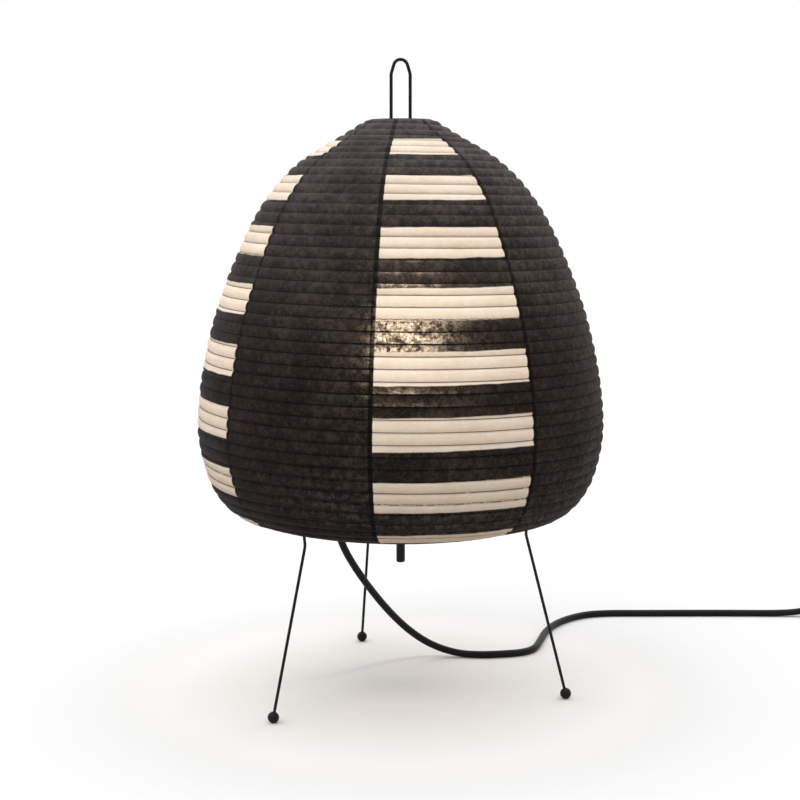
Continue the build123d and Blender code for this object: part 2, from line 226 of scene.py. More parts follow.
# %% From the lamp to the switch
lamp_lead = lead_curve("lamp_lead", [
    grip_end, grip_end + grip_way * 12.0,
    (-38.5, 21.8, 124.0), (-40.0, 20.5, 107.0), (-33.0, 23.0, 89.5), (-14.5, 36.0, 62.5),
    (6.0, 49.5, 37.5), (24.5, 58.0, 19.5), (41.5, 61.0, 8.0), (58.5, 56.0, FLOOR_MM),
    (73.0, 48.5, FLOOR_MM), (90.0, 46.4, FLOOR_MM), (105.0, 46.2, FLOOR_MM),
    (117.0, 53.0, FLOOR_MM), (126.0, 68.0, FLOOR_MM), (143.0, 100.0, FLOOR_MM),
    (161.5, 121.5, FLOOR_MM), (184.0, 135.5, FLOOR_MM), (204.0, 138.0, FLOOR_MM),
    (236.0, 129.5, FLOOR_MM), (297.0, 114.2, FLOOR_MM), (352.0, 98.4, FLOOR_MM),
    SWITCH_ENTRY - LEAVES * STRAIGHT_OUT, SWITCH_ENTRY,
])
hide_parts("cord_lamp_to_switch")
lamp_length = spline_length(lamp_lead)
print("lamp lead m", round(lamp_length, 3))

# %% The put-away coil, as more points of the second lead
COIL_CENTRE = Vector((470.0, 35.5, 0.0))
COIL_MID_R = 28.5
COIL_TURNS = 7.5
POINTS_PER_TURN = 14
COLUMN = 5.3
LAYER_RISE = 4.75
STEP_OVER = 0.28        # the last share of a turn, in which the cord moves to its next place
COIL_CELLS = [          # (column, layer) of each turn in the bundle
    (COLUMN, 0), (0.0, 0), (-COLUMN, 0), (-COLUMN / 2, 1), (COLUMN / 2, 1),
    (COLUMN, 2), (0.0, 2), (-COLUMN / 2, 2),
]


def coil_points():
    """Turns laid in columns and layers, clockwise from the side where the lead arrives."""
    start = math.atan2(LEAVES.x, -LEAVES.y)
    # control points stand a little outside the circle that their curve follows
    outside = math.cos(math.pi / POINTS_PER_TURN) ** 0.5
    places = []
    for k in range(int(COIL_TURNS * POINTS_PER_TURN) + 1):
        turn = k / POINTS_PER_TURN
        low = min(int(turn), len(COIL_CELLS) - 1)
        high = min(low + 1, len(COIL_CELLS) - 1)
        share = min(max((turn - low - (1 - STEP_OVER)) / STEP_OVER, 0.0), 1.0)
        share = share * share * (3 - 2 * share)
        column, layer = (
            a * (1 - share) + b * share for a, b in zip(COIL_CELLS[low], COIL_CELLS[high])
        )
        angle = start - TURN * turn
        radius = (COIL_MID_R + column) / outside
        places.append((
            COIL_CENTRE.x + radius * math.cos(angle),
            COIL_CENTRE.y + radius * math.sin(angle),
            FLOOR_MM + layer * LAYER_RISE,
        ))
    return places


# %% From the switch to the plug
PLUG_Z = 6.8
switch_exit = SWITCH_ENTRY + LEAVES * SWITCH_LENGTH
plug_lead = lead_curve("plug_lead", [
    switch_exit, switch_exit + LEAVES * STRAIGHT_OUT, (456.0, 69.6, FLOOR_MM), *coil_points(),
    (442.0, 11.0, 12.0), (425.0, 10.5, PLUG_Z), (411.0, 6.8, PLUG_Z),
])
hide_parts("cord_switch_to_coil", "cord_coil", "cord_coil_to_plug")
plug_length = spline_length(plug_lead)
print("plug lead m", round(plug_length, 3))

# %% [markdown]
# ## Light
# A white room gives even, soft light; one large soft box from the upper left gives the ribs their
# small shadows.  The room is a gradient in the world, which is quicker to render than walls: a
# white sweep behind, a bright ceiling, and a dimmer room in front and under the table's level.

# %% White room
SWEEP_STRENGTH = 1.0
ROOM_STRENGTH = 0.55
CEILING_LIFT = 1.0
UNDER_SHARE = 0.16
SWEEP_STEP = (-0.45, 0.25)      # how far back a direction points as the sweep begins and is full
CEILING_STEP = (0.3, 0.85)      # and how far up, for the ceiling
UNDER_STEP = (-0.25, -0.08)     # and for the table's level
SOFT_STEP = {"interpolation_type": "SMOOTHSTEP"}
scene = bpy.context.scene
scene.view_settings.view_transform = "Standard"
scene.view_settings.look = "None"

world = bpy.data.worlds.new("white_room")
scene.world = world
world.use_nodes = True
world.node_tree.nodes.clear()
add = partial(add_node, world.node_tree)
way = add(SEPARATE, [add(COORDINATES).outputs["Generated"]])
back, up = way.outputs["Y"], way.outputs["Z"]
sweep = add(MAP_RANGE, (back, *SWEEP_STEP, ROOM_STRENGTH, SWEEP_STRENGTH), **SOFT_STEP)
ceiling = add(MAP_RANGE, (up, *CEILING_STEP, 0.0, CEILING_LIFT), **SOFT_STEP)
under = add(MAP_RANGE, (up, *UNDER_STEP, UNDER_SHARE, 1.0), **SOFT_STEP)
level = add(MATH, (add(MATH, (sweep, ceiling), operation="ADD"), under), operation="MULTIPLY")
sky = add("ShaderNodeBackground", {"Color": linear("#ffffff"), "Strength": level})
add("ShaderNodeOutputWorld", {"Surface": sky})
print("room strengths", ROOM_STRENGTH, SWEEP_STRENGTH, "ceiling adds", CEILING_LIFT)

# %% Pale floor
STAGE_HALF = 6.0
FLOOR_WHITE = "#dcdcdc"
stage_mesh = bpy.data.meshes.new("stage_floor")
stage_mesh.from_pydata(
    [(x * STAGE_HALF, y * STAGE_HALF, 0) for x, y in ((-1, -1), (1, -1), (1, 1), (-1, 1))],
    [], [(0, 1, 2, 3)],
)
stage = add_object("stage_floor", stage_mesh)
# matt paint, with no gloss to mirror the lamp
white_sweep, add = new_material("painted_studio_sweep")
matt = add(PRINCIPLED, {
    "Base Color": linear(FLOOR_WHITE), "Roughness": 1.0, "Specular IOR Level": 0.0})
add(OUTPUT, [matt])
stage.data.materials.append(white_sweep)
# so wide a floor would light the shade from below, where it should stay dark
stage.visible_diffuse = False
print("floor half width m", STAGE_HALF)

# %% Soft box
SOFT_BOX_PLACE = Vector((-1.5, -1.3, 1.9))
SOFT_BOX_AIM = Vector((0.0, 0.0, 0.25))
SOFT_BOX_SIZE = 1.2
SOFT_BOX_WATTS = 8.0
soft_box_data = bpy.data.lights.new("soft_box_left", "AREA")
soft_box_data.size = SOFT_BOX_SIZE
soft_box_data.energy = SOFT_BOX_WATTS
soft_box = add_object("soft_box_left", soft_box_data)
soft_box.matrix_world = (
    Matrix.Translation(SOFT_BOX_PLACE)
    @ (SOFT_BOX_AIM - SOFT_BOX_PLACE).to_track_quat("-Z", "Y").to_matrix().to_4x4()
)
print("soft box watts", SOFT_BOX_WATTS)

# %% [markdown]
# ## The shade's outline
# The paper's outline is the CAD model's own: a bell that swells to its widest a little below the
# middle and tucks under to the bottom ring.  It is one smooth line, and everything that lies on the
# paper is placed by the distance along it.

# %% Outline from driving points (radius, height), in millimetres
SHADE_PROFILE = [
    (22.0, 388.0), (34.5, 380.0), (60.0, 365.0), (82.3, 345.0), (110.7, 295.0),
    (122.3, 265.0), (130.4, 235.0), (135.4, 205.0), (136.6, 182.0), (132.6, 157.0),
    (123.4, 137.0), (112.0, 126.6), (103.0, 123.6), (92.6, 122.6),
]
OUTLINE_STEPS = 400
FINER = 4               # points tried for each one that is kept


def smooth_line(points, steps):
    """A natural cubic spline through points by chord length, at even distances."""
    p = np.array(points, float)
    t = np.concatenate([[0], np.cumsum(np.hypot(*np.diff(p, axis=0).T))])
    h = np.diff(t)
    n = len(p)
    a = np.zeros((n, n))
    b = np.zeros((n, 2))
    a[0, 0] = a[-1, -1] = 1
    for i in range(1, n - 1):
        a[i, i - 1 : i + 2] = h[i - 1], 2 * (h[i - 1] + h[i]), h[i]
        b[i] = 6 * ((p[i + 1] - p[i]) / h[i] - (p[i] - p[i - 1]) / h[i - 1])
    m = np.linalg.solve(a, b)
    s = np.linspace(0, t[-1], steps * FINER)
    k = np.clip(np.searchsorted(t, s, side="right") - 1, 0, n - 2)
    u, v, w = (t[k + 1] - s)[:, None], (s - t[k])[:, None], h[k][:, None]
    q = (m[k] * u**3 + m[k + 1] * v**3) / (6 * w)
    q += (p[k] / w - m[k] * w / 6) * u + (p[k + 1] / w - m[k + 1] * w / 6) * v
    along = np.concatenate([[0], np.cumsum(np.hypot(*np.diff(q, axis=0).T))])
    even = np.linspace(0, along[-1], steps)
    return np.stack([np.interp(even, along, q[:, c]) for c in (0, 1)], 1), along[-1]


outline_mm, outline_length_mm = smooth_line(SHADE_PROFILE, OUTLINE_STEPS)
outline_data = bpy.data.curves.new("shade_outline", "CURVE")
outline_data.dimensions = "3D"
outline_spline = outline_data.splines.new("POLY")
outline_spline.points.add(OUTLINE_STEPS - 1)
for point, (radius, height) in zip(outline_spline.points, outline_mm):
    point.co = (radius * MM, 0, height * MM, 1)
outline = add_object("shade_outline", outline_data)
outline.hide_render = True
print("paper length mm", round(outline_length_mm, 1))

# %% [markdown]
# ## Paper
# Washi is long kozo fibre with no filler, so it lets light through and shows its fibres as pale and
# dark threads.  The black gores are dyed, and dye takes unevenly: thin places glow brown when the
# bulb is lit.  A picture of paper could be wrapped round, but noise in object coordinates runs
# across the seams with no repeat, and its sizes can be set in millimetres.

# %% Patterns in the paper
CLOUD_MM = 25.0         # clouds of dye
BLOTCH_MM = 4.1667      # blotches in the clouds
FIBRE_MM = 6.6667       # one bend of a kozo fibre
SPECK_MM = 1.25         # pinholes between the fibres
FIBRE_LIES = (1.0, 1.0, 3.2)    # squeezed upwards, because most fibres lie level
FIBRE_WIDTH = 0.022     # half width of the ridge; a real fibre is far finer and would not show
BLOTCH_IN_DYE = 0.45
BLOTCH_IN_THIN = 0.55


def paper_patterns(add):
    """The noises that all the paper's colours are made from."""
    where = add(COORDINATES).outputs["Object"]
    cloud = add(NOISE, {
        "Vector": where, "Scale": per_metre(CLOUD_MM), "Detail": 4.0, "Roughness": 0.6})
    blotch = add(NOISE, {
        "Vector": where, "Scale": per_metre(BLOTCH_MM), "Detail": 3.0, "Roughness": 0.65})
    speck = add(NOISE, {
        "Vector": where, "Scale": per_metre(SPECK_MM), "Detail": 2.0, "Distortion": 0.8})
    # fibres: thin ridges where a stretched noise crosses its middle
    lies = add("ShaderNodeMapping", {"Vector": where, "Scale": FIBRE_LIES})
    fibre = add(NOISE, {
        "Vector": lies, "Scale": per_metre(FIBRE_MM), "Detail": 2.0, "Roughness": 0.5,
        "Distortion": 1.6})
    ridge = add(MATH, (fibre, 0.5), operation="SUBTRACT")
    ridge = add(MATH, [ridge], operation="ABSOLUTE")
    return {
        "where": where,
        "cloud": cloud,
        "blotch": blotch,
        "thread": add(MAP_RANGE, (ridge, 0.0, FIBRE_WIDTH, 1.0, 0.0)),
        "dye": add(MIX, {0: BLOTCH_IN_DYE, 2: cloud, 3: blotch}),
        "thin": add(MIX, {0: BLOTCH_IN_THIN, 2: speck, 3: blotch}),
    }


# %% [markdown]
# ### Dye and bands
# The striped gores carry cream bands, one every 39.6 mm along the paper, with edges that wander as
# hand cut paper does.  The black's face is painted paler towards the top ring, a painted highlight
# of the light from above.  Each colour is needed three times: for the light that the paper throws
# back, the light that soaks through it, and the light that finds the pinholes.

# %% Dye and bands
BAND_FIRST = 26.6       # along the paper from the top ring, mm
BAND_PERIOD = 39.6
BAND_SHARE = 0.51
BAND_EDGE = 0.016       # how softly a band's edge fades, as a share of the period
WANDER_MM = 18.182      # one bend of a band's edge
WANDER_BY = 1.6         # how far it strays, mm
BAND_START = -0.1       # no band begins above this many periods
TOP_LIGHT_LENGTH = 200.0     # the part of the black painted paler by the light from above, mm
# painted highlight: how many times paler the black face is painted at the top ring
TOP_LIGHT_LIFT = 11.0
THIN_IN_THROUGH = 0.3


def dyed_black(add, paper, along):
    """The black dye: thrown back, soaked through and at the pinholes."""
    face = add(RAMP, [paper["dye"]], [(0.36, "#0f0e0d"), (0.5, "#161414"), (0.64, "#1f1c1b")])
    # painted highlight: the black face is painted paler towards the top ring, where light from
    # above falls
    painted_top_light = add(MAP_RANGE, (along, 0.0, TOP_LIGHT_LENGTH, TOP_LIGHT_LIFT, 1.0))
    face = add(VECTOR_MATH, {0: face, "Scale": painted_top_light}, operation="SCALE")
    thinness = add(MIX, {0: THIN_IN_THROUGH, 2: paper["dye"], 3: paper["thin"]})
    through = add(RAMP, [thinness], [(0.42, "#26211e"), (0.5, "#332d2a"), (0.58, "#443d39")])
    pinholes = add(
        RAMP, [paper["thin"]], [(0.42, "#2a2622"), (0.5, "#877e74"), (0.58, "#d9d1c6")])
    return face, through, pinholes


def band_mask(add, where, along, lap):
    """One on a cream band, nought on the black between."""
    wander = add(NOISE, {"Vector": where, "Scale": per_metre(WANDER_MM), "Detail": 3.0})
    strayed = add(MATH, (wander, WANDER_BY, along), operation="MULTIPLY_ADD")
    place = add(MATH, (strayed, BAND_FIRST + WANDER_BY / 2), operation="SUBTRACT")
    place = add(MATH, (place, BAND_PERIOD), operation="DIVIDE")
    cycle = add(MATH, [add(MATH, (place, 1.0), operation="ADD")], operation="FRACT")
    rise = add(MAP_RANGE, (cycle, 0.0, BAND_EDGE, 0.0, 1.0))
    fall = add(MAP_RANGE, (cycle, BAND_SHARE, BAND_SHARE + BAND_EDGE, 1.0, 0.0))
    band = add(MATH, (rise, fall), operation="MULTIPLY")
    started = add(MATH, (place, BAND_START), operation="GREATER_THAN")
    band = add(MATH, (band, started), operation="MULTIPLY")
    off_lap = add(MATH, (1.0, lap), operation="SUBTRACT")
    return add(MATH, (band, off_lap), operation="MULTIPLY")


# %% [markdown]
# ### The lit sheet
# A paper sheet shows three things at once: what it reflects, the light that soaks through it, and a
# little that passes nearly straight, which makes the bright spot round the bulb.  So the finish
# mixes a plain face with a translucent one and two rough see-through ones.  Paste makes the paper
# brown along each rib and holds back the light that passes there; the face is also darkened along
# each rib as painted shade in the notch.  A seam is black and two sheets thick.

# %% The paper finish
LAP_MM = (1.2, 1.7)         # the glued overlap ends between these distances from the seam
RIB_PASTE_AND_SHADE = (0.83, 0.96)    # the paste and the painted notch shade begin and are full here, from mid panel 0 to rib 1
LAP_DIMS = 0.85
RIB_DIMS = 0.62
FACE_DIMS = 0.7             # the face is dimmed this much less than the light that passes
PASTE_BROWN = "#c79f88"
STRAIGHT_SHARE = 0.35       # of the light that passes black paper; a cream band scatters more
CREAM_SCATTERS = 0.25
PINHOLE_SHARE = 0.4         # of that straight light, what passes by the pinholes
THROUGH_SHARE = 0.42        # of all light, what passes instead of being thrown back
FIBRE_LIGHT = (0.22, 0.9)   # a fibre's lift, and what clear paper keeps
CREASE_AT = 0.58            # where the panel folds, from rib 0 to the next rib 1
CREASE_WIDTH = 0.045
CREASE_WANDER = 0.2
CREASE_DEPTH = 0.9          # against the blotches' relief
FIBRE_RELIEF = 0.5
GRAIN_HEIGHT = 0.3 * MM


def washi(name, striped):
    """Dyed washi, plain black or with cream bands across the gore."""
    material, add = new_material(name)
    along, edge, phase = (
        add("ShaderNodeAttribute", attribute_name=label).outputs["Fac"]
        for label in ("along_mm", "edge_mm", "rib_phase")
    )
    paper = paper_patterns(add)
    face, through, pinholes = dyed_black(add, paper, along)
    forward_share = STRAIGHT_SHARE
    lap = add(MAP_RANGE, (edge, *LAP_MM, 1.0, 0.0))
    if striped:
        band = band_mask(add, paper["where"], along, lap)
        cream = add(
            RAMP, [paper["cloud"]], [(0.35, "#e9dccd"), (0.55, "#f1e7da"), (0.7, "#f6eee4")])
        cream_through = add(
            RAMP, [paper["blotch"]], [(0.3, "#e6d8c8"), (0.5, "#f0e6da"), (0.7, "#f6efe6")])
        face, through, pinholes = (
            add(MIX, {0: band, 6: dark, 7: pale}, data_type="RGBA").outputs[2]
            for dark, pale in (
                (face, cream), (through, cream_through), (pinholes, linear("#000000")))
        )
        forward_share = add(
            MATH, (band, -CREAM_SCATTERS, STRAIGHT_SHARE), operation="MULTIPLY_ADD")

    # seams and ribs hold the light back, and fibres lift it; along each rib the face is also
    # darkened as painted shade in the notch
    rib = add(MATH, (phase, 2.0, -1.0), operation="MULTIPLY_ADD")
    rib = add(MATH, [rib], operation="ABSOLUTE")
    on_rib = add(MAP_RANGE, (rib, *RIB_PASTE_AND_SHADE, 0.0, 1.0))
    lap_dims = add(MATH, (lap, LAP_DIMS), operation="MULTIPLY")
    rib_dims = add(MATH, (on_rib, RIB_DIMS), operation="MULTIPLY")
    dim = add(MATH, (lap_dims, rib_dims), operation="MAXIMUM")
    keep = add(MATH, (1.0, dim), operation="SUBTRACT")
    fibre_lift = add(MATH, (paper["thread"], *FIBRE_LIGHT), operation="MULTIPLY_ADD")
    light = add(MATH, (keep, fibre_lift), operation="MULTIPLY")
    # the face is darkened at the dark seams, and along each rib as paste and painted notch shade
    face_keep = add(MATH, (dim, -FACE_DIMS, 1.0), operation="MULTIPLY_ADD")
    face = add(VECTOR_MATH, {0: face, "Scale": face_keep}, operation="SCALE")
    through = add(VECTOR_MATH, {0: through, "Scale": light}, operation="SCALE")
    pinholes = add(VECTOR_MATH, {0: pinholes, "Scale": light}, operation="SCALE")
    # the brown line along each rib is paste colour and painted notch shade
    face, through = (
        add(MIX, {0: on_rib, 6: colour, 7: linear(PASTE_BROWN)},
            data_type="RGBA", blend_type="MULTIPLY").outputs[2]
        for colour in (face, through)
    )

    # a soft crease runs along the middle of each panel, where the paper folds as the lantern shuts
    off_crease = add(MATH, (paper["cloud"], CREASE_WANDER, phase), operation="MULTIPLY_ADD")
    off_crease = add(MATH, (off_crease, CREASE_AT), operation="SUBTRACT")
    off_crease = add(MATH, [off_crease], operation="ABSOLUTE")
    crease = add(MAP_RANGE, (off_crease, 0.0, CREASE_WIDTH, 1.0, 0.0))
    grain = add(
        MATH, (paper["thread"], FIBRE_RELIEF, paper["blotch"]), operation="MULTIPLY_ADD")
    grain = add(MATH, (crease, -CREASE_DEPTH, grain), operation="MULTIPLY_ADD")
    bump = add("ShaderNodeBump", {"Height": grain, "Strength": 0.35, "Distance": GRAIN_HEIGHT})

    front = add(PRINCIPLED, {
        "Base Color": face, "Roughness": 0.62, "Specular IOR Level": 0.1, "Normal": bump,
        "Sheen Weight": 0.06, "Sheen Roughness": 0.35})
    soak = add("ShaderNodeBsdfTranslucent", {"Color": through})
    glow = add(REFRACTION, {"Color": through, "Roughness": 0.95, "IOR": 1.6})
    straight = add(REFRACTION, {"Color": pinholes, "Roughness": 0.62, "IOR": 1.3})
    forward = add(MIX_SHADER, (PINHOLE_SHARE, glow, straight))
    passed = add(MIX_SHADER, (forward_share, soak, forward))
    add(OUTPUT, [add(MIX_SHADER, (THROUGH_SHARE, front, passed))])
    return material


black_washi = washi("black_dyed_washi", striped=False)
striped_washi = washi("cream_banded_washi", striped=True)
print("paper finishes", black_washi.name, striped_washi.name)

# %% [markdown]
# ## Gores
# A gore is one of eight strips of paper, glued to the rib and to its neighbours.  It follows a
# rule: it is the outline turned through 45 degrees, pulled in to the rib at every turn of the
# spiral and puffed out between.  So Geometry Nodes make it: a grid whose rows run along the spiral,
# moved onto the outline, with named inputs for the pitch, the puff and the handwork.


# %% Geometry Nodes helpers
def new_group(name, inputs):
    """A geometry group with named inputs: the tree, `add_node` for it, and what it is given."""
    tree = bpy.data.node_groups.new(name, "GeometryNodeTree")
    tree.interface.new_socket("Geometry", in_out="OUTPUT", socket_type="NodeSocketGeometry")
    for label, kind in inputs:
        tree.interface.new_socket(label, in_out="INPUT", socket_type=f"NodeSocket{kind}")
    return tree, partial(add_node, tree), add_node(tree, "NodeGroupInput").outputs


def grown(name, tree, values):
    """The mesh that a geometry group makes with these named inputs."""
    host = add_object(f"{name}_host", bpy.data.meshes.new(f"{name}_host"))
    modifier = host.modifiers.new("grow", "NODES")
    modifier.node_group = tree
    for item in tree.interface.items_tree:
        if item.item_type == "SOCKET" and item.in_out == "INPUT" and item.name in values:
            modifier[item.identifier] = values[item.name]
    host.update_tag()
    bpy.context.view_layer.update()
    depsgraph = bpy.context.evaluated_depsgraph_get()
    mesh = bpy.data.meshes.new_from_object(
        host.evaluated_get(depsgraph), preserve_all_data_layers=True, depsgraph=depsgraph)
    mesh.name = name
    bpy.data.objects.remove(host)
    return add_object(name, mesh)


def outline_sample(add, profile, distance):
    """Radius, height and outward normal on the outline, at a distance in metres."""
    info = add("GeometryNodeObjectInfo", {"Object": profile}, transform_space="ORIGINAL")
    sample = add(
        "GeometryNodeSampleCurve", {"Curves": info.outputs["Geometry"], "Length": distance},
        mode="LENGTH", use_all_curves=True)
    spot = add(SEPARATE, [sample.outputs["Position"]])
    way = add(SEPARATE, [sample.outputs["Tangent"]])
    out_r = add(MATH, (way.outputs["Z"], -1.0), operation="MULTIPLY")
    return spot.outputs["X"], spot.outputs["Z"], out_r, way.outputs["X"]


def round_the_axis(add, angle, radius, height):
    """The place at an angle, radius and height round the upright axis."""
    x = add(MATH, (add(MATH, [angle], operation="COSINE"), radius), operation="MULTIPLY")
    y = add(MATH, (add(MATH, [angle], operation="SINE"), radius), operation="MULTIPLY")
    return add(COMBINE, (x, y, height))


def finish_group(add, geometry, material):
    """End a tree as the export needs: a material, and no instances."""
    finished = add("GeometryNodeSetMaterial", {"Geometry": geometry, "Material": material})
    realized = add("GeometryNodeRealizeInstances", {"Geometry": finished})
    add("NodeGroupOutput", [realized])


# %% The rows of a gore
WHOLE_TURNS = 8.0       # keeps every turn above nought, so that its fraction runs one way


def spiral_rows(add, given, across, down):
    """Angle, distance along the paper, and place between two turns of the rib."""
    angle = add(MATH, (across, given["Width"], given["Middle"]), operation="MULTIPLY_ADD")
    turn_share = add(MATH, (angle, TURN), operation="DIVIDE")
    row = add(MATH, (0.5, down), operation="SUBTRACT")
    row_step = add(MATH, (given["Rib Pitch"], given["Rows Per Rib"]), operation="DIVIDE")
    gaps = add(MATH, (given["Rows"], 1.0), operation="SUBTRACT")
    reach = add(MATH, (gaps, row_step), operation="MULTIPLY")
    level_row = add(MATH, (row, reach), operation="MULTIPLY")
    level_row = add(MATH, (level_row, given["Rib Pitch"]), operation="SUBTRACT")
    # rows lean with the spiral, so a rib always runs along a row
    along = add(MATH, (turn_share, given["Rib Pitch"], level_row), operation="MULTIPLY_ADD")
    along = add(MATH, (along, 0.0), operation="MAXIMUM")
    along = add(MATH, (along, given["Paper Length"]), operation="MINIMUM")
    turns = add(MATH, (along, given["Rib Pitch"]), operation="DIVIDE")
    turns = add(MATH, (turns, turn_share), operation="SUBTRACT")
    turns = add(MATH, (turns, WHOLE_TURNS), operation="ADD")
    phase = add(MATH, [turns], operation="FRACT")
    return angle, along, phase


# %% The lift of the paper off its rib
DOME_POWER = 2.3        # a full round puff, drawn in tight at the rib
SLOW_MM = 38.4615       # one slow wave of handwork
FINE_MM = 7.6923        # one crinkle
CRINKLE_SHARE = 0.75    # of the handwork, in the puff
RING_LAP = 3.0 * MM     # the paper lies flat on both rings


def paper_lift(add, given, spot, along, phase):
    """How far the paper stands off the outline."""
    off = add(MATH, (phase, 2.0, -1.0), operation="MULTIPLY_ADD")
    off = add(MATH, [off], operation="ABSOLUTE")
    off = add(MATH, (off, DOME_POWER), operation="POWER")
    dome = add(MATH, (1.0, off), operation="SUBTRACT", use_clamp=True)
    slow = add(NOISE, {"Vector": spot, "Scale": per_metre(SLOW_MM), "Detail": 2.0})
    fine = add(NOISE, {"Vector": spot, "Scale": per_metre(FINE_MM), "Detail": 2.0})
    uneven = add(MATH, (slow, 0.5), operation="SUBTRACT")
    uneven = add(MATH, (uneven, given["Handwork"]), operation="MULTIPLY")
    crinkle = add(MATH, (fine, 0.5), operation="SUBTRACT")
    crinkle = add(MATH, (crinkle, given["Handwork"]), operation="MULTIPLY")
    puff = add(MATH, (crinkle, CRINKLE_SHARE, given["Puff"]), operation="MULTIPLY_ADD")
    lift = add(MATH, (dome, puff, uneven), operation="MULTIPLY_ADD")
    left = add(MATH, (given["Paper Length"], along), operation="SUBTRACT")
    from_end = add(MATH, (along, left), operation="MINIMUM")
    ends = add(MATH, (from_end, 1.0 / RING_LAP), operation="MULTIPLY", use_clamp=True)
    lift = add(MATH, (lift, ends), operation="MULTIPLY")
    return add(MATH, (lift, given["Rib Depth"]), operation="SUBTRACT")


# %% The gore tree
def gore_tree():
    """A grid laid on the outline, with what the paper's finish needs to know of each point."""
    tree, add, given = new_group("accordion_gore", [
        ("Outline", "Object"), ("Paper Length", "Float"), ("Middle", "Float"), ("Width", "Float"),
        ("Rib Pitch", "Float"), ("Puff", "Float"), ("Rib Depth", "Float"), ("Handwork", "Float"),
        ("Across", "Int"), ("Rows", "Int"), ("Rows Per Rib", "Int"), ("Paper", "Material")])
    grid = add("GeometryNodeMeshGrid", {
        "Size X": 1.0, "Size Y": 1.0, "Vertices X": given["Across"], "Vertices Y": given["Rows"]})
    cell = add(SEPARATE, [add("GeometryNodeInputPosition")])
    across = cell.outputs["X"]
    angle, along, phase = spiral_rows(add, given, across, cell.outputs["Y"])
    radius, height, out_r, out_z = outline_sample(add, given["Outline"], along)
    spot = round_the_axis(add, angle, radius, height)
    lift = paper_lift(add, given, spot, along, phase)
    radius = add(MATH, (out_r, lift, radius), operation="MULTIPLY_ADD")
    height = add(MATH, (out_z, lift, height), operation="MULTIPLY_ADD")

    from_seam = add(MATH, [across], operation="ABSOLUTE")
    from_seam = add(MATH, (0.5, from_seam), operation="SUBTRACT")
    arc = add(MATH, (given["Width"], radius), operation="MULTIPLY")
    edge = add(MATH, (from_seam, arc), operation="MULTIPLY")
    geometry = grid.outputs["Mesh"]
    for label, value in (
        ("along_mm", add(MATH, (along, 1 / MM), operation="MULTIPLY")),
        ("edge_mm", add(MATH, (edge, 1 / MM), operation="MULTIPLY")),
        ("rib_phase", phase),
    ):
        geometry = add(
            "GeometryNodeStoreNamedAttribute",
            {"Geometry": geometry, "Name": label, "Value": value},
            data_type="FLOAT", domain="POINT")
    place = round_the_axis(add, angle, radius, height)
    moved = add("GeometryNodeSetPosition", {"Geometry": geometry, "Position": place})
    merged = add("GeometryNodeMergeByDistance", {"Geometry": moved, "Distance": 0.02 * MM})
    smooth = add("GeometryNodeSetShadeSmooth", {"Geometry": merged})
    finish_group(add, smooth, given["Paper"])
    return tree


accordion_gore = gore_tree()
print("gore tree nodes", len(accordion_gore.nodes))

# %% Grow the eight gores
GORE_PLACES = [
    "back", "back_left", "left", "front_left", "front", "front_right", "right", "back_right",
]
GORE_SHARE = TURN / len(GORE_PLACES)
RIB_PITCH = 7.6
ROWS_PER_RIB = 10
POINTS_ACROSS = 57
PUFF = 1.15 * MM
RIB_DEPTH = 0.45 * MM
HANDWORK = 0.9 * MM
row_count = math.ceil((outline_length_mm / RIB_PITCH + 2) * ROWS_PER_RIB) + 1
paper_length = outline_length_mm * MM


def outward(obj):
    """Turn the faces so that they point away from the axis."""
    mesh = obj.data
    middle = mesh.polygons[len(mesh.polygons) // 2]
    if middle.normal.x * middle.center.x + middle.normal.y * middle.center.y < 0:
        mesh.flip_normals()


for k, place in enumerate(GORE_PLACES):
    striped = k % 2 == 0
    middle = math.pi / 2 + GORE_SHARE * k
    name = ("striped_" if striped else "black_") + "gore_" + place
    gore = grown(f"paper_{name}", accordion_gore, {
        "Outline": outline, "Paper Length": paper_length,
        "Middle": middle - TURN * (middle > math.pi), "Width": GORE_SHARE,
        "Rib Pitch": RIB_PITCH * MM, "Puff": PUFF, "Rib Depth": RIB_DEPTH,
        "Handwork": HANDWORK, "Across": POINTS_ACROSS, "Rows": row_count,
        "Rows Per Rib": ROWS_PER_RIB, "Paper": striped_washi if striped else black_washi})
    outward(gore)
    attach(gore, "stand")
    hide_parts(name)
    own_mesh(gore)
print("gores", len(GORE_PLACES), "with", len(gore.data.vertices), "points in the last")

# %% [markdown]
# ## Bamboo rib
# One split bamboo strip winds from ring to ring under the paper.  A spiral is a rule too, so the
# same outline carries it: a line of points, wound round the axis and swept with a small section.


